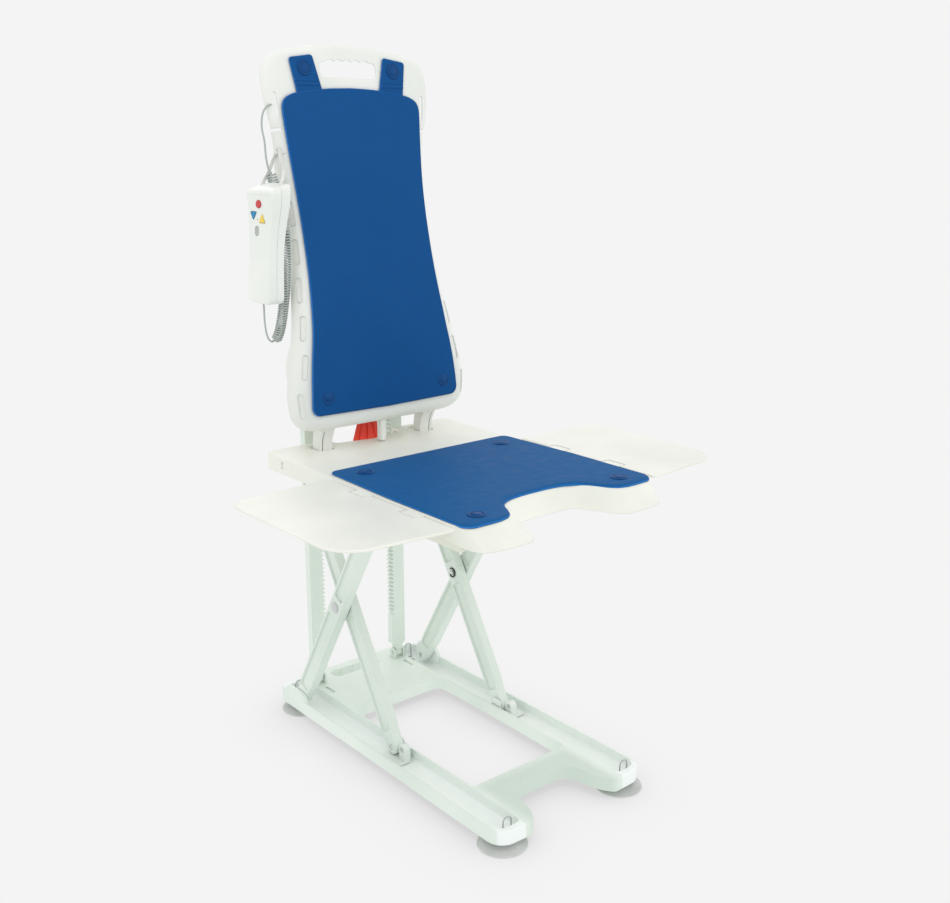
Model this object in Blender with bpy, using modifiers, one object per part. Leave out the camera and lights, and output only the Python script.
"""Powered seat lift with a reclining backrest, modelled as separate pieces in metres.

+Z is up, the front (where the user's legs hang) is -Y, and the hand control hangs on
the -X side, which is called left.  The origin lies on the floor under the middle of the
whole object.  The rest pose is the raised seat with the backrest up, leaning back a little.
Shapes are laid out from the middle of the base and shifted along Y at the end.
"""

import math
from collections import namedtuple

import bmesh
import bpy
from mathutils import Matrix, Vector

# ---------------------------------------------------------------- driving sizes
GAP = 0.0003             # between parts that lie on each other
WALL = 0.0030            # thickness of the front lip and of the back panel
SIDES = (("left", -1), ("right", 1))

RAIL_OUT = 0.1455        # half width over the base rails
RAIL_IN = 0.0925         # inner face of each rail
BASE_Z0, BASE_Z1 = 0.0135, 0.0360
BASE_FRONT, BASE_REAR = -0.300, 0.290
REAR_BULGE = 0.002       # how far the middle of the rear edge stands out
CUP_X, CUP_FRONT, CUP_REAR, CUP_R = 0.1175, -0.2740, 0.2500, 0.0363
# end name, y of the suction cup, y of its pull loop
CUP_ROWS = (("front", CUP_FRONT, -0.2835), ("rear", CUP_REAR, 0.2620))

# leg pivots as (y, z)
PIVOT_REAR_Y, PIVOT_FRONT_Y = 0.2260, -0.0120
PIVOT_LOW_Z, PIVOT_TOP_Z = 0.0360, 0.4400
REAR_LOW = (PIVOT_REAR_Y, PIVOT_LOW_Z)
REAR_TOP = (PIVOT_REAR_Y, PIVOT_TOP_Z)
FRONT_LOW = (PIVOT_FRONT_Y, PIVOT_LOW_Z)
FRONT_TOP = (PIVOT_FRONT_Y, PIVOT_TOP_Z)
CROSSING = ((PIVOT_REAR_Y + PIVOT_FRONT_Y) / 2, (PIVOT_LOW_Z + PIVOT_TOP_Z) / 2)
PIN_R, HOLE_R = 0.0040, 0.0044

RACK_FOOT = (0.2500, 0.0460)         # rack trunnion axis, y and z
RACK_TOP = 0.5600
TRUNNION_R, TRUNNION_HOLE_R = 0.0030, 0.0034

SEAT_TOP = 0.4765
SKIN = 0.0040                        # thickness of the seat's and the flaps' top
SEAT_HALF, SEAT_FRONT_HALF = 0.1800, 0.1835
SEAT_REAR, SEAT_FRONT = 0.2280, -0.2620
PAD_TOP = 0.4795
BUTTON_HOLE_R = 0.0034

FLAP_IN, FLAP_OUT = 0.1875, 0.3575
FLAP_AXIS_X, FLAP_AXIS_Z = 0.1930, 0.4700
FLAP_FRONT, FLAP_REAR = SEAT_FRONT, 0.0340
FLAP_PIN_R, FLAP_HOLE_R = 0.0020, 0.0023

TILT = math.radians(9.5)             # backrest lean at rest
BACK_Y0, BACK_Z0 = 0.1405, 0.4794    # a point on the panel's front plane
RECLINE = (0.1850, 0.4647)           # recline hinge axis, y and z
RECLINE_PIVOT = (0, *RECLINE)
PEG = (0.2245, 0.9350)               # strap peg, y and z
COVER_TOP = 0.0033                   # front face of the back cover, off the panel's plane

LEVER_AXIS = (0.2080, 0.4620)        # release lever axis, y and z

DRIVE_Z, SHAFT_Y, PINION_X = 0.5450, 0.1900, 0.0540
BEVEL_WIDE, BEVEL_NARROW = 0.0125, 0.0070    # end radii of the bevel gears

# brings the middle of the whole object, suction cups included, over the origin
SHIFT_Y = (CUP_R - CUP_FRONT - BASE_REAR - REAR_BULGE) / 2

# ---------------------------------------------------------------- finishes
Finish = namedtuple("Finish", "colour roughness metallic", defaults=(0.0,))

WHITE = (0.86, 0.86, 0.84)
BLUE = (0.010, 0.075, 0.300)
STEEL = (0.60, 0.61, 0.62)
GREY = (0.45, 0.45, 0.46)
DARK = (0.05, 0.05, 0.055)
RED = (0.75, 0.04, 0.02)

PALE_FRAME = Finish((0.72, 0.78, 0.73), roughness=0.5)
SHELL = Finish((0.83, 0.82, 0.78), roughness=0.45)
CUP_GREY = Finish(GREY, roughness=0.3)
LEAD_GREY = Finish(GREY, roughness=0.5)
SHOE_WHITE = Finish(WHITE, roughness=0.45)
SMOOTH_WHITE = Finish(WHITE, roughness=0.4)
STRAP_WHITE = Finish(WHITE, roughness=0.6)
COVER_BLUE = Finish(BLUE, roughness=0.5)
BUTTON_BLUE = Finish(BLUE, roughness=0.45)
LOOP_STEEL = Finish(STEEL, roughness=0.35, metallic=0.3)
PIN_STEEL = Finish(STEEL, roughness=0.3, metallic=0.8)
SHAFT_STEEL = Finish(STEEL, roughness=0.3, metallic=0.9)
PINION_STEEL = Finish(STEEL, roughness=0.35, metallic=0.8)
CLIP_DARK = Finish(DARK, roughness=0.4, metallic=0.7)
DARK_CASE = Finish(DARK, roughness=0.5)
LEVER_RED = Finish(RED, roughness=0.35)
STOP_RED = Finish(RED, roughness=0.4)
DOWN_CYAN = Finish((0.02, 0.32, 0.62), roughness=0.4)
UP_YELLOW = Finish((0.90, 0.62, 0.08), roughness=0.4)
BOARD_GREEN = Finish((0.05, 0.25, 0.12), roughness=0.5)

# ---------------------------------------------------------------- scene and pieces
for old in list(bpy.data.objects):
    bpy.data.objects.remove(old, do_unlink=True)

parts = bpy.data.collections.new("seat_lift")
cutters = bpy.data.collections.new("cutters")
bpy.context.scene.collection.children.link(parts)
bpy.context.scene.collection.children.link(cutters)
cutters.hide_render = True


def material(name, finish):
    mat = bpy.data.materials.new(name)
    mat.use_nodes = True
    shader = mat.node_tree.nodes["Principled BSDF"]
    shader.inputs["Base Color"].default_value = (*finish.colour, 1.0)
    shader.inputs["Roughness"].default_value = finish.roughness
    shader.inputs["Metallic"].default_value = finish.metallic
    return mat


def piece(name, mesh, finish, pivot=(0.0, 0.0, 0.0)):
    """A part: its mesh is given in world space and its origin goes to pivot."""
    mesh.transform(Matrix.Translation(-Vector(pivot)))
    mesh.name = name
    obj = bpy.data.objects.new(name, mesh)
    obj.location = pivot
    mesh.materials.append(material(name + "_material", finish))
    parts.objects.link(obj)
    return obj


def boolean(obj, mesh, how):
    """A boolean modifier with a mesh given in world space."""
    tool = bpy.data.objects.new(obj.name + "_cutter", mesh)
    cutters.objects.link(tool)
    tool.hide_render = True
    tool.display_type = "WIRE"
    mod = obj.modifiers.new("boolean", "BOOLEAN")
    mod.operation = how
    mod.object = tool
    mod.solver = "EXACT"


def cut(obj, mesh):
    boolean(obj, mesh, "DIFFERENCE")


def join(obj, mesh):
    boolean(obj, mesh, "UNION")


# ---------------------------------------------------------------- mesh helpers
def mesh_from(work):
    """The mesh of a bmesh, with its normals made consistent."""
    bmesh.ops.recalc_face_normals(work, faces=work.faces)
    mesh = bpy.data.meshes.new("m")
    work.to_mesh(mesh)
    work.free()
    return mesh


def editable(mesh):
    """Turns a mesh into a bmesh."""
    work = bmesh.new()
    work.from_mesh(mesh)
    bpy.data.meshes.remove(mesh)
    return work


def baked(data, modifier=None, **settings):
    """The evaluated mesh of a curve or mesh, under a modifier if one is given."""
    obj = bpy.data.objects.new("guide", data)
    bpy.context.scene.collection.objects.link(obj)
    if modifier:
        mod = obj.modifiers.new("shape", modifier)
        for key, value in settings.items():
            setattr(mod, key, value)
    bpy.context.view_layer.update()
    graph = bpy.context.evaluated_depsgraph_get()
    mesh = bpy.data.meshes.new_from_object(obj.evaluated_get(graph))
    bpy.data.objects.remove(obj, do_unlink=True)
    return mesh


def thickened(work):
    """A solid from an open bmesh sheet; the wall grows behind its faces."""
    sheet = bpy.data.meshes.new("sheet")
    work.to_mesh(sheet)
    work.free()
    return mesh_from(editable(baked(sheet, "SOLIDIFY", thickness=WALL, offset=-1.0)))


def box(low, high, round_by=0.0, segments=1, edges=None):
    """A box between two corners; edges(middle, direction) picks what gets rounded."""
    work = bmesh.new()
    bmesh.ops.create_cube(work, size=1.0)
    low, high = Vector(low), Vector(high)
    bmesh.ops.scale(work, vec=high - low, verts=work.verts)
    bmesh.ops.translate(work, vec=(low + high) / 2, verts=work.verts)
    if round_by:
        chosen = work.edges[:]
        if edges is not None:
            chosen = [
                e for e in work.edges
                if edges((e.verts[0].co + e.verts[1].co) / 2,
                         (e.verts[1].co - e.verts[0].co).normalized())
            ]
        bmesh.ops.bevel(work, geom=chosen, offset=round_by, segments=segments,
                        profile=0.5, affect="EDGES")
    return mesh_from(work)


def span(sign, inner, outer):
    """The x range between two distances from the middle, on one side."""
    return sorted((sign * inner, sign * outer))


def side_box(sign, x_range, y_range, z_range, *rounding):
    """A box on one side, from its ranges; x counts outwards from the middle."""
    return box(*zip(span(sign, *x_range), y_range, z_range), *rounding)


def rod(axis, centre, radius, start, end, sides=12, end_radius=None):
    """A cylinder or cone along x, y or z; centre holds the two other coordinates."""
    work = bmesh.new()
    bmesh.ops.create_cone(work, cap_ends=True, segments=sides, radius1=radius,
                          radius2=radius if end_radius is None else end_radius,
                          depth=end - start)
    middle = (start + end) / 2
    if axis == "x":
        turn = Matrix.Rotation(math.pi / 2, 4, "Y")
        place = Vector((middle, centre[0], centre[1]))
    elif axis == "y":
        turn = Matrix.Rotation(-math.pi / 2, 4, "X")
        place = Vector((centre[0], middle, centre[1]))
    else:
        turn = Matrix.Identity(4)
        place = Vector((centre[0], centre[1], middle))
    bmesh.ops.transform(work, matrix=Matrix.Translation(place) @ turn, verts=work.verts)
    return mesh_from(work)


def curve_mesh(curve, flat=False):
    """The closed mesh of a curve, with its caps welded."""
    mesh = baked(curve)
    bpy.data.curves.remove(curve)
    mesh.materials.clear()
    work = editable(mesh)
    bmesh.ops.remove_doubles(work, verts=work.verts, dist=1e-6)
    bmesh.ops.dissolve_degenerate(work, dist=1e-6, edges=work.edges)
    if flat:
        bmesh.ops.dissolve_limit(work, angle_limit=0.001, use_dissolve_boundaries=False,
                                 verts=[], edges=work.edges)
    return mesh_from(work)


def outline(points, low, high, plane="xy", holes=()):
    """A flat outline in a plane, with thickness from low to high along the third axis."""
    curve = bpy.data.curves.new("outline", "CURVE")
    curve.dimensions = "2D"
    curve.fill_mode = "BOTH"
    curve.extrude = (high - low) / 2
    for loop in (points, *holes):
        spline = curve.splines.new("POLY")
        spline.points.add(len(loop) - 1)
        for point, where in zip(spline.points, loop):
            point.co = (*where, 0.0, 1.0)
        spline.use_cyclic_u = True
    mesh = curve_mesh(curve, flat=True)
    middle = (low + high) / 2
    mesh.transform({
        "xy": Matrix(((1, 0, 0, 0), (0, 1, 0, 0), (0, 0, 1, middle), (0, 0, 0, 1))),
        "yz": Matrix(((0, 0, 1, middle), (1, 0, 0, 0), (0, 1, 0, 0), (0, 0, 0, 1))),
        "xz": Matrix(((1, 0, 0, 0), (0, 0, -1, middle), (0, 1, 0, 0), (0, 0, 0, 1))),
    }[plane])
    return mesh


def wire(points, radius, closed=False):
    """A round wire along points; an open one gets end caps."""
    curve = bpy.data.curves.new("wire", "CURVE")
    curve.dimensions = "3D"
    curve.bevel_depth = radius
    curve.bevel_resolution = 1
    curve.use_fill_caps = not closed
    spline = curve.splines.new("POLY")
    spline.points.add(len(points) - 1)
    for point, where in zip(spline.points, points):
        point.co = (*where, 1.0)
    spline.use_cyclic_u = closed
    return curve_mesh(curve)


def turned(profile, steps=20):
    """A solid turned about Z; the profile (r, z) runs from the top of the axis, outside down."""
    work = bmesh.new()
    verts = [work.verts.new((r, 0.0, z)) for r, z in profile]
    for pair in zip(verts, verts[1:]):
        work.edges.new(pair)
    line = bpy.data.meshes.new("profile")
    work.to_mesh(line)
    work.free()
    work = editable(baked(line, "SCREW", steps=steps, render_steps=steps,
                          use_merge_vertices=True, merge_threshold=1e-5))
    bmesh.ops.remove_doubles(work, verts=work.verts, dist=1e-6)
    return mesh_from(work)


def moved(mesh, matrix):
    mesh.transform(matrix)
    return mesh


def on_side(sign, mesh):
    """Takes a mesh modelled on the +X side and mirrors it if the side is -X."""
    if sign < 0:
        mesh.transform(Matrix.Scale(-1, 4, (1, 0, 0)))
        mesh.flip_normals()
    return mesh


def upright(middle, direction):
    """Picks a box's vertical edges."""
    return abs(direction.z) > 0.9


# ---------------------------------------------------------------- outline helpers
def arc(centre_u, centre_v, radius, start, end, count):
    """Points on an arc, with its angles in degrees."""
    angles = [math.radians(start + (end - start) * i / count) for i in range(count + 1)]
    return [(centre_u + radius * math.cos(angle), centre_v + radius * math.sin(angle))
            for angle in angles]


def rounded(points, radii, count=4):
    """A polygon with rounded corners; radii is one number or one per corner."""
    if not isinstance(radii, (list, tuple)):
        radii = [radii] * len(points)
    out = []
    for i, (corner, radius) in enumerate(zip(points, radii)):
        corner = Vector(corner)
        if radius <= 0:
            out.append(tuple(corner))
            continue
        to_last = (Vector(points[i - 1]) - corner).normalized()
        to_next = (Vector(points[(i + 1) % len(points)]) - corner).normalized()
        half = math.acos(max(-1, min(1, to_last.dot(to_next)))) / 2
        reach = radius / math.tan(half)
        centre = corner + (to_last + to_next).normalized() * (radius / math.sin(half))
        start = math.atan2(*(corner + to_last * reach - centre).yx)
        end = math.atan2(*(corner + to_next * reach - centre).yx)
        turn = (end - start + math.pi) % (2 * math.pi) - math.pi
        out += [
            (centre.x + radius * math.cos(start + turn * k / count),
             centre.y + radius * math.sin(start + turn * k / count))
            for k in range(count + 1)
        ]
    return out


def both(half):
    """Closes a right-hand half outline by mirroring it."""
    left = [(-x, y) for x, y in reversed(half) if abs(x) > 1e-6]
    return list(half) + left


def smooth_line(knots, count):
    """Points on a smooth line through knots (Catmull-Rom), count per span."""
    out = []
    for i in range(len(knots) - 1):
        before = Vector(knots[max(i - 1, 0)])
        start, end = Vector(knots[i]), Vector(knots[i + 1])
        after = Vector(knots[min(i + 2, len(knots) - 1)])
        for k in range(count):
            t = k / count
            out.append(tuple(
                0.5 * ((2 * start) + (end - before) * t
                       + (2 * before - 5 * start + 4 * end - after) * t * t
                       + (3 * start - before - 3 * end + after) * t ** 3)
            ))
    out.append(tuple(knots[-1]))
    return out


def inset(points, distance):
    """Moves a counter-clockwise outline inwards along its corner normals."""
    out = []
    count = len(points)
    for i in range(count):
        last, corner, following = (Vector(points[j % count]) for j in (i - 1, i, i + 1))
        before, after = (corner - last).normalized(), (following - corner).normalized()
        normal = Vector((-(before + after).y, (before + after).x)).normalized()
        edge_normal = Vector((-before.y, before.x))
        out.append(tuple(corner + normal * (distance / max(0.5, normal.dot(edge_normal)))))
    return out


# ---------------------------------------------------------------- base frame
# front edge of the base, (x, y) from the middle outwards
BASE_FRONT_EDGE = [
    (0.0, -0.2210), (0.0430, -0.2220), (0.0530, -0.2290), (0.0590, -0.2400),
    (0.0620, -0.2560), (0.0660, -0.2730), (0.0740, -0.2890),
]
TROUGH_X, TROUGH_Y, TROUGH_Z = (0.0970, 0.1410), (-0.2890, 0.2740), (0.0185, 0.0420)
PIN_WALL_X = 0.1386      # inner face of the raised wall at the rear leg pin
# the raised wall and the block behind its inner face, (y, z)
PIN_WALL = rounded([(0.1990, 0.0300), (0.2620, 0.0300), (0.2560, 0.0495), (0.2080, 0.0495)],
                   [0.0, 0.0, 0.008, 0.008], 3)
PIN_BLOCK = [(0.2000, 0.0160), (0.2610, 0.0160), (0.2610, 0.0350), (0.2550, 0.0492),
             (0.2090, 0.0492), (0.2000, 0.0350)]
RACK_EAR = rounded([(0.2425, 0.0330), (0.2575, 0.0330), (0.2575, 0.0540), (0.2425, 0.0540)],
                   [0, 0, 0.0065, 0.0065], 3)
BELOW_BASE = 0.0100      # where cuts from underneath start
HOLLOW_TOP = 0.0325      # ceiling of the hollows under the cross plates


def base_frame():
    half = (
        BASE_FRONT_EDGE
        + rounded([(0.0820, BASE_FRONT - 0.002), (RAIL_OUT, BASE_FRONT), (RAIL_OUT, 0.0)],
                  [0.0, 0.026, 0.0], 5)[:-1]
        + rounded([(RAIL_OUT, 0.1), (RAIL_OUT, BASE_REAR - 0.003),
                   (0.0, BASE_REAR + REAR_BULGE)], [0.0, 0.022, 0.0], 4)[1:]
    )
    window = rounded([(-RAIL_IN, -0.1800), (RAIL_IN, -0.1800),
                      (RAIL_IN, 0.1354), (-RAIL_IN, 0.1354)], [0.004, 0.004, 0.012, 0.012], 3)
    rear_slot = rounded([(-0.048, 0.2720), (-0.048, 0.2480), (0.048, 0.2480), (0.048, 0.2720)],
                        0.008, 3)
    base = piece("base_frame", outline(both(half), BASE_Z0, BASE_Z1, holes=(window, rear_slot)),
                 PALE_FRAME)
    for _, sign in SIDES:
        # raised wall that holds the rear leg pin, on the rail's outer wall
        join(base, on_side(sign, outline(PIN_WALL, PIN_WALL_X, RAIL_OUT - 0.0002, "yz")))
        trough = box(*zip(TROUGH_X, TROUGH_Y, TROUGH_Z), 0.006, 2,
                     lambda middle, direction: middle.z < 0.03 or upright(middle, direction))
        cut(base, on_side(sign, trough))
        # the trough also clears the inside of the raised wall, so it is put back
        join(base, on_side(sign, outline(PIN_BLOCK, PIN_WALL_X, RAIL_OUT - 0.0010, "yz")))
        # blind hole for the rear leg pin
        cut(base, rod("x", REAR_LOW, HOLE_R, *span(sign, 0.1370, 0.1442)))
        # rack lugs on the rear plate, with the trunnion holes
        for inner, outer in ((0.0735, 0.0770), (0.0925, 0.0962)):
            join(base, on_side(sign, outline(RACK_EAR, inner, outer, "yz")))
        cut(base, rod("x", RACK_FOOT, TRUNNION_HOLE_R, *span(sign, 0.0700, 0.0967)))
        for _, cup_y, _ in CUP_ROWS:
            cut(base, rod("z", (sign * CUP_X, cup_y), 0.0060, BELOW_BASE, 0.0200))
        # slots for the pull loops, and the small slots beside the racks
        for _, _, loop_y in CUP_ROWS:
            cut(base, side_box(sign, (CUP_X - 0.0095, CUP_X + 0.0095),
                               (loop_y - 0.0022, loop_y + 0.0022), (BELOW_BASE, 0.0230)))
        cut(base, side_box(sign, (0.0815, 0.0865), (0.2030, 0.2280), (0.0300, 0.0400)))
        # hollow underside of the rear plate
        cut(base, side_box(sign, (0.0035, 0.0825), (0.1400, 0.2360), (BELOW_BASE, HOLLOW_TOP)))
    # hollow underside of the front plate
    cut(base, box((-0.0860, -0.2150, BELOW_BASE), (0.0860, -0.1850, HOLLOW_TOP)))


# ---------------------------------------------------------------- suction cups and pull loops
CUP_PROFILE = [  # radius, z
    (0.0, 0.0172), (0.0055, 0.0172), (0.0055, 0.0131), (0.0110, 0.0131),
    (0.0125, 0.0080), (CUP_R, 0.0020), (CUP_R, 0.0), (0.0300, 0.0), (0.0, 0.0040),
]
LOOP_HALF = 0.0075       # half width of a pull loop, to the middle of its wire
LOOP_FOOT_Z, LOOP_BEND_Z = 0.0150, 0.0390


def cups_and_loops():
    for side, sign in SIDES:
        x = sign * CUP_X
        for end, cup_y, loop_y in CUP_ROWS:
            place = Matrix.Translation((x, cup_y, 0))
            piece(f"suction_cup_{end}_{side}", moved(turned(CUP_PROFILE), place), CUP_GREY)
            points = [(x + LOOP_HALF, loop_y, LOOP_FOOT_Z)]
            points += [(u, loop_y, v) for u, v in arc(x, LOOP_BEND_Z, LOOP_HALF, 0, 180, 6)]
            points += [(x - LOOP_HALF, loop_y, LOOP_FOOT_Z)]
            piece(f"pull_loop_{end}_{side}", wire(points, 0.0011), LOOP_STEEL,
                  (x, loop_y, LOOP_FOOT_Z))


# ---------------------------------------------------------------- scissor legs
OUTER_LEG_X = (0.1200, 0.1380)
INNER_LEG_X = (0.1015, 0.1180)
LEG_WIDTH, LEG_END_WIDTH = 0.0300, 0.0240
NECK, SHOULDER = 0.018, 0.045        # where the widening starts and ends, from the pivot
POCKET_RIM, POCKET_DEPTH = 0.0045, 0.003
POCKET_TO_END, POCKET_TO_MIDDLE = 0.026, 0.019
CUT_PAST = 0.01                      # how far the leg cutters stand out of its faces


def leg(name, low, high, x_range, pivot):
    """A flat leg between two (y, z) points, with round ends and sunk faces."""
    low, high = Vector(low), Vector(high)
    along = (high - low).normalized()
    across = Vector((-along.y, along.x))
    length = (high - low).length
    end_half, half = LEG_END_WIDTH / 2, LEG_WIDTH / 2
    left, right = x_range

    def place(points):
        """Turns (along, across) points into (y, z)."""
        return [tuple(low + along * u + across * v) for u, v in points]

    edge = place(
        arc(0.0, 0.0, end_half, 90, 270, 6)
        + [(NECK, -end_half), (SHOULDER, -half), (length - SHOULDER, -half),
           (length - NECK, -end_half)]
        + arc(length, 0.0, end_half, -90, 90, 6)
        + [(length - NECK, end_half), (length - SHOULDER, half), (SHOULDER, half),
           (NECK, end_half)]
    )
    obj = piece(name, outline(edge, left, right, "yz"), PALE_FRAME, pivot)
    rim = half - POCKET_RIM
    for start, end in ((POCKET_TO_END, length / 2 - POCKET_TO_MIDDLE),
                       (length / 2 + POCKET_TO_MIDDLE, length - POCKET_TO_END)):
        pocket = place([(start, -rim), (end, -rim), (end, rim), (start, rim)])
        cut(obj, outline(pocket, left - CUT_PAST, left + POCKET_DEPTH, "yz"))
        cut(obj, outline(pocket, right - POCKET_DEPTH, right + CUT_PAST, "yz"))
    for hole in place([(0.0, 0.0), (length / 2, 0.0), (length, 0.0)]):
        cut(obj, rod("x", hole, HOLE_R, left - CUT_PAST, right + CUT_PAST))


def leg_pins(side, sign):
    # middle pin with its head outside, and the spring clip at its inner end
    base_pivot = (0, *REAR_LOW)
    pin = piece(f"middle_pin_{side}", rod("x", CROSSING, PIN_R, *span(sign, 0.0988, 0.1390)),
                PIN_STEEL, base_pivot)
    join(pin, rod("x", CROSSING, 0.0090, *span(sign, 0.1384, 0.1404)))
    clip = arc(*CROSSING, 0.0082, 40, 320, 12) + arc(*CROSSING, 0.0047, 320, 40, 12)
    piece(f"spring_clip_{side}", outline(clip, *span(sign, 0.0996, 0.1010), "yz"),
          CLIP_DARK, base_pivot)
    piece(f"base_pin_{side}", rod("x", REAR_LOW, PIN_R, *span(sign, 0.1195, 0.1438)), PIN_STEEL)
    piece(f"seat_pin_{side}", rod("x", REAR_TOP, PIN_R, *span(sign, 0.0946, 0.1175)),
          PIN_STEEL, (0, *CROSSING))


def lower_shoe(side, sign):
    """The shoe that slides in the rail, with its stud in the front leg."""
    y, z = FRONT_LOW
    shoe = piece(f"lower_shoe_{side}",
                 side_box(sign, (0.1040, 0.1340), (y - 0.032, y + 0.014), (0.0190, 0.0236)),
                 SHOE_WHITE, (0, y, z))
    foot = box((0.0992, y - 0.0135, 0.0221), (0.1060, y + 0.0135, 0.0237))
    top_corners = [0, 0, 0.007, 0.007]
    ear = outline(rounded([(y - 0.013, 0.0230), (y + 0.013, 0.0230), (y + 0.009, 0.0480),
                           (y - 0.009, 0.0480)], top_corners, 3), 0.0981, 0.1010, "yz")
    tab = outline(rounded([(y - 0.0315, 0.0210), (y - 0.0165, 0.0210), (y - 0.0165, 0.0490),
                           (y - 0.0315, 0.0490)], top_corners, 3), 0.1045, 0.1165, "yz")
    stud = rod("x", FRONT_LOW, PIN_R, 0.0995, 0.1172)
    for mesh in (foot, ear, tab, stud):
        join(shoe, on_side(sign, mesh))
    cut(shoe, rod("x", (y - 0.0240, 0.0410), 0.0040, *span(sign, 0.100, 0.120)))


def upper_slider(side, sign):
    """The block that slides under the seat, with its stud in the rear leg's top."""
    y, z = FRONT_TOP
    block = box((0.1400, y - 0.012, z - 0.0065), (0.1530, y + 0.012, z + 0.0065), 0.0015)
    slider = piece(f"upper_slider_{side}", on_side(sign, block), SMOOTH_WHITE, (0, y, z))
    join(slider, rod("x", FRONT_TOP, PIN_R, *span(sign, 0.1205, 0.1410)))


def scissors():
    for side, sign in SIDES:
        leg(f"rear_leg_{side}", REAR_LOW, FRONT_TOP, span(sign, *OUTER_LEG_X), (0, *REAR_LOW))
        leg(f"front_leg_{side}", FRONT_LOW, REAR_TOP, span(sign, *INNER_LEG_X), (0, *CROSSING))
        leg_pins(side, sign)
        lower_shoe(side, sign)
        upper_slider(side, sign)


# ---------------------------------------------------------------- toothed racks
RACK_IN, RACK_OUT = 0.0700, 0.0980
RACK_Y = (0.2430, 0.2570)
RACK_PITCH = 0.0075
TEETH_FOOT = 0.122       # the teeth stop above this height
TOOTH_ROOT = 0.0045      # depth of the roots from the tips


def racks():
    """Racks with their teeth on the inner edge."""
    count = int((RACK_TOP - TEETH_FOOT) / RACK_PITCH)
    teeth = []
    for k in range(count):
        top = RACK_TOP - k * RACK_PITCH
        teeth += [(RACK_IN + TOOTH_ROOT, top - 0.0006), (RACK_IN, top - RACK_PITCH / 2)]
    last = RACK_TOP - count * RACK_PITCH
    edge = (
        [(RACK_OUT, RACK_TOP), (RACK_IN + 0.005, RACK_TOP)] + teeth
        + [(RACK_IN + TOOTH_ROOT, last - 0.0006), (RACK_IN + 0.0005, last - 0.0050),
           (RACK_IN, 0.0660), (0.0785, 0.0600), (0.0785, 0.0410),
           (0.0915, 0.0410), (0.0915, 0.0600), (RACK_OUT, 0.0660)]
    )
    for side, sign in SIDES:
        rack = piece(f"rack_{side}", on_side(sign, outline(edge, *RACK_Y, "xz")), PALE_FRAME,
                     (0, *RACK_FOOT))
        # a groove down the rear face, trunnions at the foot, and the foot's front cut back
        cut(rack, side_box(sign, (0.0795, 0.0930), (0.2530, 0.2600), (0.0800, RACK_TOP - 0.012)))
        join(rack, rod("x", RACK_FOOT, TRUNNION_R, *span(sign, 0.0712, 0.0960)))
        cut(rack, side_box(sign, (0.0700, 0.1000), (0.2400, 0.2450), (0.0380, 0.0520)))


# ---------------------------------------------------------------- seat plate
# cut-out in the seat's front edge, (x, y) from the middle outwards
FRONT_CUTOUT = [(0.0, -0.2010), (0.0500, -0.2020), (0.0680, -0.2080), (0.0790, -0.2250),
                (0.0840, -0.2420), (0.0980, -0.2560), (0.1150, SEAT_FRONT)]
LEG_ROOM_X = (0.0945, 0.1420)
RIBS_X = ((0.0720, 0.0765), (0.1235, 0.1275))
# lug for the front leg's top pin, (y, z)
LEG_LUG = rounded([(0.2100, 0.4735), (0.2140, 0.4325), (0.2360, 0.4325), (0.2275, 0.4735)],
                  [0, 0.006, 0.008, 0], 3)
# section of the channel that the upper slider runs in, (x, z)
SLIDER_GUIDE = [
    (0.1475, 0.4295), (0.1570, 0.4295), (0.1570, 0.4740), (0.1542, 0.4740),
    (0.1542, 0.4502), (0.1395, 0.4502), (0.1395, 0.4474), (0.1536, 0.4474),
    (0.1536, 0.4327), (0.1475, 0.4327),
]
BELOW_SEAT, ABOVE_SEAT = 0.4300, 0.4900      # ends of the cuts through the seat
# the opening in the middle for the release lever, past the rear edge, (x, y)
LEVER_OPENING = rounded([(-0.0660, 0.1990), (0.0, 0.1860), (0.0660, 0.1990), (0.0660, 0.2500),
                         (-0.0660, 0.2500)], [0.006, 0.02, 0.006, 0, 0], 3)


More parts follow.
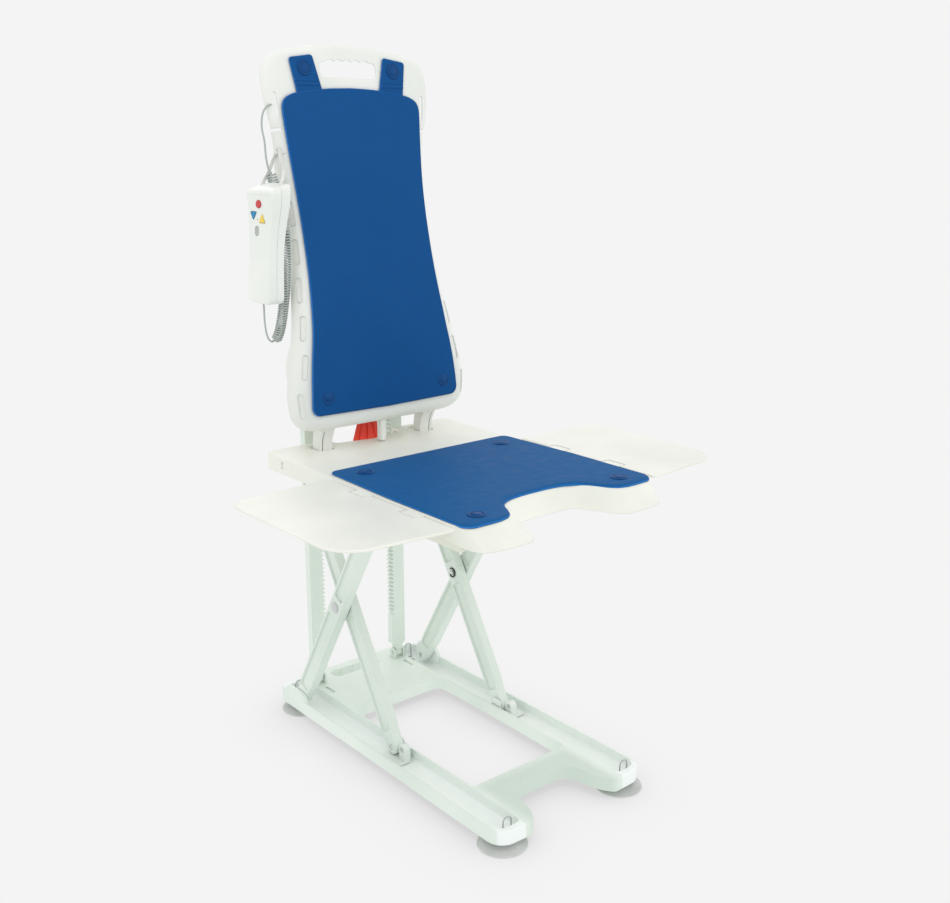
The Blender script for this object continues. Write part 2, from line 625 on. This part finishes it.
def seat_plate():
    half = FRONT_CUTOUT + rounded(
        [(0.13, SEAT_FRONT), (SEAT_FRONT_HALF, SEAT_FRONT), (SEAT_FRONT_HALF, 0.040),
         (SEAT_HALF, 0.050), (SEAT_HALF, SEAT_REAR), (0.0, SEAT_REAR)],
        [0, 0.012, 0, 0, 0.006, 0], 3)
    edge = both(half)
    seat = piece("seat_plate", outline(edge, 0.4555, SEAT_TOP), SHELL)
    cut(seat, outline(inset(edge, 0.0035), 0.4400, SEAT_TOP - SKIN))
    # deeper box section at the rear
    inner_x, inner_rear = SEAT_HALF - 0.0034, SEAT_REAR - 0.0034
    join(seat, outline(
        rounded([(-SEAT_HALF, 0.0520), (SEAT_HALF, 0.0520), (SEAT_HALF, SEAT_REAR),
                 (-SEAT_HALF, SEAT_REAR)], [0.002, 0.002, 0.006, 0.006], 2), 0.4470, 0.4740,
        holes=([(-inner_x, 0.0556), (inner_x, 0.0556), (inner_x, inner_rear),
                (-inner_x, inner_rear)],)))
    for _, sign in SIDES:
        # room for the legs through the front and the rear wall of that box
        cut(seat, side_box(sign, LEG_ROOM_X, (-0.0600, 0.1000),
                           (BELOW_SEAT, SEAT_TOP - SKIN - 0.0006)))
        cut(seat, side_box(sign, LEG_ROOM_X, (0.1800, 0.2500), (BELOW_SEAT, 0.4660)))
        # ribs that close the arm openings and carry the recline pins
        for inner, outer in RIBS_X:
            rib = box((inner, 0.1500, 0.4475), (outer, SEAT_REAR - 0.001, 0.4745))
            join(seat, on_side(sign, rib))
        cut(seat, side_box(sign, (0.0770, 0.1230), (0.1600, 0.2040), (BELOW_SEAT, ABOVE_SEAT),
                           0.003, 2, upright))
        cut(seat, rod("x", RECLINE, HOLE_R, *span(sign, 0.0700, 0.1300)))
        join(seat, on_side(sign, outline(LEG_LUG, 0.0962, 0.0998, "yz")))
        cut(seat, rod("x", REAR_TOP, HOLE_R, *span(sign, 0.0900, 0.1010)))
        join(seat, on_side(sign, outline(SLIDER_GUIDE, -0.2570, 0.0150, "xz")))
    cut(seat, outline(LEVER_OPENING, BELOW_SEAT, ABOVE_SEAT))
    cut(seat, rod("x", LEVER_AXIS, 0.0034, -0.0710, 0.0710))
    join(seat, front_lip())
    return seat


# rows of the lip from the seat's top down: reach past the front edge, z
LIP_ROWS = (
    (-0.0080, SEAT_TOP - 0.0004), (0.0, SEAT_TOP - 0.0004), (0.0130, SEAT_TOP - 0.0035),
    (0.0235, SEAT_TOP - 0.0130), (0.0285, 0.4475),
)
LIP_SIDEWAYS = 0.55      # share of the reach that also acts along x


def front_lip():
    """The lip that turns down round the front edge and its cut-out."""
    half = FRONT_CUTOUT + [
        (0.1300, SEAT_FRONT), (0.1450, SEAT_FRONT), (0.1600, SEAT_FRONT + 0.0005),
        (0.1720, SEAT_FRONT + 0.004), (0.1800, SEAT_FRONT + 0.012)]
    line = [(-x, y) for x, y in reversed(half[1:])] + half
    work = bmesh.new()
    grid = []
    for reach, z in LIP_ROWS:
        row = []
        for i, (x, y) in enumerate(line):
            before = Vector(line[max(i - 1, 0)])
            after = Vector(line[min(i + 1, len(line) - 1)])
            along = (after - before).normalized()
            row.append(work.verts.new((x + along.y * reach * LIP_SIDEWAYS,
                                       y - along.x * reach, z)))
        grid.append(row)
    for upper, lower in zip(grid, grid[1:]):
        for i in range(len(upper) - 1):
            work.faces.new((upper[i], lower[i], lower[i + 1], upper[i + 1]))
    return thickened(work)


# ---------------------------------------------------------------- seat cover and its buttons
# right half of the cover, (x, y) from the front middle
PAD_HALF = [(0.0, -0.2070), (0.0500, -0.2085), (0.0680, -0.2140), (0.0770, -0.2280),
            (0.0830, -0.2470), (0.0950, -0.2620), (0.1100, -0.2690), (0.1300, -0.2710)]
PAD_HALF += rounded([(0.14, -0.2710), (0.1850, -0.2690), (0.1715, 0.0570), (0.0, 0.0570)],
                    [0, 0.020, 0.012, 0], 4)[1:]
BUTTON_PROFILE = [  # radius, height over the cover
    (0.0, 0.0014), (0.0055, 0.0014), (0.0085, 0.0009), (0.0095, 0.0),
    (0.0030, 0.0), (0.0030, -0.0060), (0.0, -0.0060),
]
SEAT_BUTTONS = (("rear", 0.1330, 0.0190), ("front", 0.1350, -0.2385))      # end, x, y


def seat_cover(seat):
    cover = piece("seat_cover", outline(both(PAD_HALF), SEAT_TOP + GAP, PAD_TOP), COVER_BLUE)
    for end, x, y in SEAT_BUTTONS:
        for side, sign in SIDES:
            place = Matrix.Translation((sign * x, y, PAD_TOP + GAP))
            piece(f"seat_button_{end}_{side}", moved(turned(BUTTON_PROFILE, 16), place),
                  BUTTON_BLUE)
            for obj, top in ((cover, PAD_TOP), (seat, SEAT_TOP)):
                cut(obj, rod("z", (sign * x, y), BUTTON_HOLE_R, top - 0.01, top + 0.01))


# ---------------------------------------------------------------- side flaps
SEAT_KNUCKLES = ((-0.1900, -0.1560), (-0.0720, -0.0380))     # y ranges
FLAP_KNUCKLES = ((-0.2360, -0.1920), (-0.0360, 0.0080))
KNUCKLE_CLEARANCE = 0.0015
FLAP_OUTLINE = rounded(
    [(FLAP_IN, FLAP_FRONT + 0.006), (0.3300, FLAP_FRONT + 0.010), (FLAP_OUT, -0.2100),
     (FLAP_OUT, 0.0100), (0.3300, 0.0310), (FLAP_IN, FLAP_REAR)],
    [0.004, 0.030, 0.030, 0.020, 0.020, 0.004], 4)


def side_flaps(seat):
    for side, sign in SIDES:
        axis = (sign * FLAP_AXIS_X, FLAP_AXIS_Z)
        flap = piece(f"side_flap_{side}",
                     on_side(sign, outline(FLAP_OUTLINE, SEAT_TOP - SKIN, SEAT_TOP)), SHELL,
                     (axis[0], 0, axis[1]))
        for start, end in SEAT_KNUCKLES:
            cut(flap, side_box(sign, (0.1800, 0.2010),
                               (start - KNUCKLE_CLEARANCE, end + KNUCKLE_CLEARANCE),
                               (0.46, 0.49)))
        for start, end in FLAP_KNUCKLES:
            join(flap, rod("y", axis, 0.0050, start, end, 14))
            cut(flap, rod("y", axis, FLAP_HOLE_R, start - 0.002, end + 0.002))
        for start, end in SEAT_KNUCKLES:
            join(seat, rod("y", axis, 0.0046, start, end, 14))
            join(seat, side_box(sign, (0.1785, 0.1915), (start, end),
                                (FLAP_AXIS_Z - 0.0035, FLAP_AXIS_Z + 0.0020)))
            cut(seat, rod("y", axis, FLAP_HOLE_R, start - 0.002, end + 0.002))
        piece(f"flap_pin_{side}", rod("y", axis, FLAP_PIN_R, -0.2380, 0.0100), PIN_STEEL)


# ---------------------------------------------------------------- backrest panel
# the backrest is built in its own plane (x across, y up the panel, z out of its front)
BACK = Matrix(((1, 0, 0, 0),
               (0, math.sin(TILT), -math.cos(TILT), BACK_Y0),
               (0, math.cos(TILT), math.sin(TILT), BACK_Z0),
               (0, 0, 0, 1)))
# right half of the panel, (x, y) from bottom to top
PANEL_HALF = [
    (0.0, 0.0360), (0.0700, 0.0365), (0.1280, 0.0370), (0.1500, 0.0450), (0.1610, 0.0620),
    (0.1635, 0.0950), (0.1560, 0.1500), (0.1470, 0.2010), (0.1375, 0.2550),
    (0.1305, 0.3180), (0.1275, 0.3750), (0.1295, 0.4320), (0.1365, 0.4900),
    (0.1450, 0.5250), (0.1515, 0.5580), (0.1515, 0.5800), (0.1430, 0.5960),
    (0.1230, 0.6080), (0.0850, 0.6170), (0.0400, 0.6210), (0.0, 0.6220),
]
# rings of the panel's rounded edge: inset from the outline, z
PANEL_RINGS = ((0.0240, 0.0), (0.0110, -0.0045), (0.0030, -0.0130), (0.0, -0.0320))
# slots along both rounded edges, y ranges
SLOTS = ((0.0700, 0.0900), (0.1120, 0.1380), (0.1620, 0.1850), (0.2240, 0.2460),
         (0.2760, 0.3000), (0.3300, 0.3560), (0.5220, 0.5500))
SLOT_HALF = 0.0028
# arm that reaches down to the recline pin, (y, z) in world space
ARM = arc(*RECLINE, 0.0105, -150, 30, 8) + [
    (0.1740, 0.5000), (0.1715, 0.5100), (0.1715, 0.5560), (0.1560, 0.5560),
    (0.1530, 0.5200), (0.1600, 0.4950)]


def panel_shell():
    work = bmesh.new()
    line = both(PANEL_HALF)
    rings = [[work.verts.new((x, y, depth)) for x, y in inset(line, distance)]
             for distance, depth in PANEL_RINGS]
    work.faces.new(rings[0])
    count = len(line)
    for inner, outer in zip(rings, rings[1:]):
        for i in range(count):
            following = (i + 1) % count
            work.faces.new((inner[i], outer[i], outer[following], inner[following]))
    return moved(thickened(work), BACK)


def handle_cutter():
    """The handle opening near the top, scalloped along its upper edge."""
    scallops = []
    for k in range(5):
        middle = 0.0400 - 0.0200 * k
        scallops += [(middle + 0.0085, 0.5985), (middle, 0.6010), (middle - 0.0085, 0.5985)]
    edge = rounded([(-0.0520, 0.5980), (-0.0520, 0.5730), (0.0520, 0.5730), (0.0520, 0.5980)],
                   [0, 0.009, 0.009, 0], 3) + scallops
    return moved(outline(edge, -0.02, 0.02), BACK)


def panel_half_width(y):
    for (x0, y0), (x1, y1) in zip(PANEL_HALF, PANEL_HALF[1:]):
        if y0 <= y <= y1:
            return x0 + (x1 - x0) * (y - y0) / (y1 - y0)


def slot_cutter(sign, low, high):
    """A long slot that follows the slope of the panel's side."""
    middle, half = (low + high) / 2, (high - low) / 2
    lean = math.atan2(panel_half_width(high) - panel_half_width(low), high - low)
    edge = rounded([(-SLOT_HALF, -half), (SLOT_HALF, -half), (SLOT_HALF, half),
                    (-SLOT_HALF, half)], SLOT_HALF * 0.9, 1)
    place = Matrix.Translation((panel_half_width(middle) - 0.0105, middle, 0))
    mesh = moved(outline(edge, -0.04, 0.01), place @ Matrix.Rotation(-lean, 4, "Z"))
    return moved(on_side(sign, mesh), BACK)


def back_panel():
    panel = piece("back_panel", panel_shell(), SHELL, RECLINE_PIVOT)
    cut(panel, handle_cutter())
    for side, sign in SIDES:
        for low, high in SLOTS:
            cut(panel, slot_cutter(sign, low, high))
        # break in the side wall under the head part
        notch = box((0.1270, 0.4930, -0.06), (0.1700, 0.4980, 0.02))
        cut(panel, moved(on_side(sign, notch), BACK))
        join(panel, on_side(sign, outline(ARM, 0.0785, 0.1215, "yz")))
        cut(panel, rod("x", RECLINE, HOLE_R, *span(sign, 0.0700, 0.1300)))
        piece(f"recline_pin_{side}", rod("x", RECLINE, PIN_R, *span(sign, 0.0716, 0.1280)),
              PIN_STEEL)
    # middle hook that stands in front of the release lever
    join(panel, box((-0.0050, 0.1600, 0.4782), (0.0050, 0.1710, 0.5300)))
    # peg that the hand control's strap hangs on
    join(panel, rod("x", PEG, 0.0030, -0.1420, -0.1230))
    return panel


# ---------------------------------------------------------------- back cover and its buttons
# right half of the cover in the panel's plane, (x, y) from bottom to top
COVER_HALF = (
    [(0.0, 0.0560), (0.0700, 0.0560)]
    + rounded([(0.1000, 0.0560), (0.1480, 0.0575), (0.1400, 0.1200)], [0, 0.014, 0], 4)[1:]
    + smooth_line([(0.1360, 0.1480), (0.1285, 0.2000), (0.1240, 0.2550), (0.1220, 0.3180),
                   (0.1215, 0.3750), (0.1225, 0.4320), (0.1245, 0.4800), (0.1270, 0.5150)], 2)
    + [(0.1280, 0.5250), (0.1270, 0.5330), (0.1220, 0.5400), (0.1140, 0.5450),
       (0.1025, 0.5490), (0.1065, 0.5800)]
    + rounded([(0.107, 0.585), (0.1095, 0.6095), (0.0650, 0.6140), (0.0535, 0.5560)],
              [0, 0.005, 0.005, 0], 3)[1:]
    + [(0.0300, 0.5580), (0.0, 0.5590)]
)
BACK_BUTTONS = (("bottom", 0.1093, 0.0870), ("top", 0.0836, 0.5920))       # end, x, y


def back_cover(panel):
    cover = piece("back_cover", moved(outline(both(COVER_HALF), GAP, COVER_TOP), BACK),
                  COVER_BLUE, RECLINE_PIVOT)
    for end, x, y in BACK_BUTTONS:
        for side, sign in SIDES:
            place = BACK @ Matrix.Translation((sign * x, y, COVER_TOP + GAP))
            piece(f"back_button_{end}_{side}", moved(turned(BUTTON_PROFILE, 16), place),
                  BUTTON_BLUE, RECLINE_PIVOT)
            for obj in (cover, panel):
                hole = rod("z", (sign * x, y), BUTTON_HOLE_R, -0.01, 0.02)
                cut(obj, moved(hole, BACK))


# ---------------------------------------------------------------- drive housing and drive train
HOUSING_HALF = 0.130
HOUSING_FRONT, HOUSING_REAR = 0.1800, 0.268
HOUSING_Z0, HOUSING_Z1 = 0.520, 0.645
HOUSING_WALL = 0.0025
PINION_TEETH = 12
PINION_ROOT, PINION_TIP = 0.0112, 0.0155
# one tooth: angle off its middle in shares of the pitch, radius
TOOTH = ((-0.38 * 0.95, PINION_ROOT), (-0.20 * 0.95, PINION_TIP),
         (0.20 * 0.95, PINION_TIP), (0.38 * 0.95, PINION_ROOT))


def drive_housing():
    housing = piece(
        "drive_housing",
        box((-HOUSING_HALF, HOUSING_FRONT, HOUSING_Z0), (HOUSING_HALF, HOUSING_REAR, HOUSING_Z1),
            0.010, 2, lambda middle, direction: middle.y > 0.2 and abs(direction.y) < 0.1),
        SHELL, RECLINE_PIVOT)
    inner_x = HOUSING_HALF - HOUSING_WALL
    floor, ceiling = HOUSING_Z0 + HOUSING_WALL, HOUSING_Z1 - HOUSING_WALL
    # wide front chamber, open to the front, and the middle one behind it
    cut(housing, box((-inner_x, HOUSING_FRONT - 0.01, floor), (inner_x, 0.2330, ceiling)))
    cut(housing, box((-0.0605, 0.2300, floor), (0.0605, HOUSING_REAR - HOUSING_WALL, ceiling)))
    for _, sign in SIDES:
        # channel for the rack, open to the rear
        cut(housing, side_box(sign, (0.0640, 0.1005), (0.2360, HOUSING_REAR + 0.05),
                              (HOUSING_Z0 - 0.05, HOUSING_Z1 + 0.05)))
        # window where the pinion meets the rack
        cut(housing, side_box(sign, (0.0590, 0.0660), (0.2410, 0.2590),
                              (DRIVE_Z - 0.018, DRIVE_Z + 0.018)))
        # outer rear chamber
        cut(housing, side_box(sign, (0.1035, 0.1250), (0.2300, HOUSING_REAR - 0.004),
                              (floor, ceiling)))


def gear_motor():
    motor = piece("gear_motor", box((-0.0220, 0.1760, 0.5300), (0.0220, 0.2060, 0.5640), 0.003),
                  DARK_CASE, RECLINE_PIVOT)
    join(motor, rod("z", (0.0, 0.1930), 0.0145, 0.5600, 0.6320, 16))
    cut(motor, rod("x", (SHAFT_Y, DRIVE_Z), 0.0046, -0.03, 0.03))


def pinion(side, sign):
    axis = (sign * PINION_X, DRIVE_Z)
    obj = piece(f"pinion_{side}", rod("y", axis, PIN_R, 0.1990, 0.2600), PINION_STEEL,
                (axis[0], 0.25, axis[1]))
    join(obj, rod("y", axis, BEVEL_NARROW, 0.1980, 0.2040, 20, BEVEL_WIDE))
    teeth = []
    for k in range(PINION_TEETH):
        for offset, radius in TOOTH:
            angle = 2 * math.pi * (k + 0.5 + offset) / PINION_TEETH
            teeth.append((axis[0] + radius * math.cos(angle),
                          axis[1] + radius * math.sin(angle)))
    join(obj, outline(teeth, 0.2440, 0.2560, "xz"))


def drive_train():
    shaft_axis = (SHAFT_Y, DRIVE_Z)
    shaft = piece("cross_shaft", rod("x", shaft_axis, PIN_R, -0.0450, 0.0450), SHAFT_STEEL,
                  (0, *shaft_axis))
    for side, sign in SIDES:
        # bevel gear on the cross shaft, narrowing towards the pinion's axis
        gear = rod("x", shaft_axis, BEVEL_WIDE, 0.0400, 0.0460, 20, BEVEL_NARROW)
        join(shaft, on_side(sign, gear))
        pinion(side, sign)


# ---------------------------------------------------------------- release lever
def release_lever():
    plate = rounded([(-0.0380, 0.4560), (0.0380, 0.4560), (0.0270, 0.5020), (-0.0270, 0.5020)],
                    0.003, 2)
    lever = piece("release_lever", outline(plate, 0.2065, 0.2095, "xz"), LEVER_RED,
                  (0, *LEVER_AXIS))
    join(lever, rod("x", LEVER_AXIS, 0.0030, -0.0700, 0.0700))
    # upright ribs on the front face
    for x in (-0.0180, 0.0, 0.0180):
        join(lever, box((x - 0.0012, 0.2040, 0.4660), (x + 0.0012, 0.2075, 0.4990)))


# ---------------------------------------------------------------- hand control
# its face looks to -X
HAND_FACE_X, HAND_BACK_X = -0.1900, -0.1620
HAND_Z0, HAND_Z1 = 0.7150, 0.8820
HAND_Y = 0.1930                      # middle of the face
HAND_WALL = 0.0022
# half of the body's outline, (distance from the middle in y, z) from bottom to top
HAND_HALF = [
    (0.0, HAND_Z0), (0.0270, HAND_Z0 + 0.0005), (0.0325, HAND_Z0 + 0.006), (0.0318, 0.7500),
    (0.0305, 0.7800), (0.0308, 0.8120), (0.0335, 0.8450), (0.0365, 0.8700),
    (0.0360, 0.8770), (0.0320, 0.8810), (0.0, HAND_Z1),
]
STOP, DOWN, UP = (0.1945, 0.8618), (0.2085, 0.8450), (0.1840, 0.8407)     # centres, y and z


def triangle(centre, size, direction):
    """A rounded triangle; direction is 1 for pointing up and -1 for down."""
    y, z = centre
    rise = size * direction
    return rounded([(y - size, z - rise * 0.75), (y + size, z - rise * 0.75),
                    (y, z + rise * 0.95)], 0.0012, 2)


def oval(centre, half_width, half_height, count=16):
    angles = [2 * math.pi * k / count for k in range(count)]
    return [(centre[0] + half_width * math.cos(angle), centre[1] + half_height * math.sin(angle))
            for angle in angles]


def hand_control():
    edge = [(HAND_Y + u, v) for u, v in both(HAND_HALF)]
    inner = inset(edge, HAND_WALL)
    front = piece("handset_front_shell", outline(edge, HAND_FACE_X, -0.1765, "yz"),
                  SMOOTH_WHITE, RECLINE_PIVOT)
    cut(front, outline(inner, HAND_FACE_X + HAND_WALL, -0.17, "yz"))
    rear = piece("handset_rear_shell", outline(edge, -0.1762, HAND_BACK_X, "yz"),
                 SMOOTH_WHITE, RECLINE_PIVOT)
    cut(rear, outline(inner, -0.18, HAND_BACK_X - HAND_WALL, "yz"))
    for name, centre, shape, hole, finish in (
            ("stop_button", STOP, oval(STOP, 0.0058, 0.0066), oval(STOP, 0.0063, 0.0071),
             STOP_RED),
            ("down_button", DOWN, triangle(DOWN, 0.0078, -1), triangle(DOWN, 0.0086, -1),
             DOWN_CYAN),
            ("up_button", UP, triangle(UP, 0.0078, 1), triangle(UP, 0.0086, 1), UP_YELLOW)):
        cut(front, outline(hole, HAND_FACE_X - 0.01, HAND_FACE_X + 0.006, "yz"))
        piece(name, outline(shape, HAND_FACE_X - 0.0012, HAND_FACE_X + 0.0045, "yz"), finish,
              (HAND_FACE_X, *centre))
    piece("control_board", box((-0.1835, 0.1690, 0.7980), (-0.1820, 0.2170, 0.8720)),
          BOARD_GREEN, RECLINE_PIVOT)
    piece("battery_pack", box((-0.1830, 0.1700, 0.7240), (-0.1660, 0.2160, 0.7900), 0.002),
          DARK_CASE, RECLINE_PIVOT)


# strap below the peg, (x, y, z)
STRAP_LOOP = [
    (-0.1500, 0.1850, 0.9080), (-0.1660, 0.1700, 0.8880), (-0.1710, 0.1760, 0.8845),
    (-0.1710, 0.2140, 0.8845), (-0.1660, 0.2260, 0.8880), (-0.1500, 0.2300, 0.9080),
]
# lead: out of the hand control's foot, down, up behind it and over to the backrest
LEAD_KNOTS = [
    (-0.1690, 0.2000, 0.7125), (-0.1690, 0.2010, 0.6880), (-0.1640, 0.2080, 0.6640),
    (-0.1540, 0.2170, 0.6600), (-0.1490, 0.2160, 0.6850), (-0.1490, 0.2060, 0.7300),
    (-0.1490, 0.2120, 0.8100), (-0.1490, 0.2300, 0.8900), (-0.1510, 0.2440, 0.9200),
    (-0.1560, 0.2520, 0.9500), (-0.1640, 0.2480, 0.9800), (-0.1650, 0.2340, 1.0000),
    (-0.1600, 0.2240, 1.0060),
]


def strap_and_lead():
    over_peg = [(-0.1385, y, z) for y, z in arc(*PEG, 0.0052, 0, 180, 5)]
    piece("hanging_strap", wire(over_peg + STRAP_LOOP, 0.0016, closed=True), STRAP_WHITE,
          RECLINE_PIVOT)
    piece("handset_lead", wire(smooth_line(LEAD_KNOTS, 2), 0.0024), LEAD_GREY, RECLINE_PIVOT)


# ---------------------------------------------------------------- assembly
base_frame()
cups_and_loops()
scissors()
racks()
seat_body = seat_plate()
seat_cover(seat_body)
side_flaps(seat_body)
back_cover(back_panel())
drive_housing()
gear_motor()
drive_train()
release_lever()
hand_control()
strap_and_lead()

for obj in cutters.objects:
    obj.location.y += SHIFT_Y
for obj in parts.objects:
    obj.location.y += SHIFT_Y
    obj.data.shade_smooth()
    obj.data.set_sharp_from_angle(angle=math.radians(35))
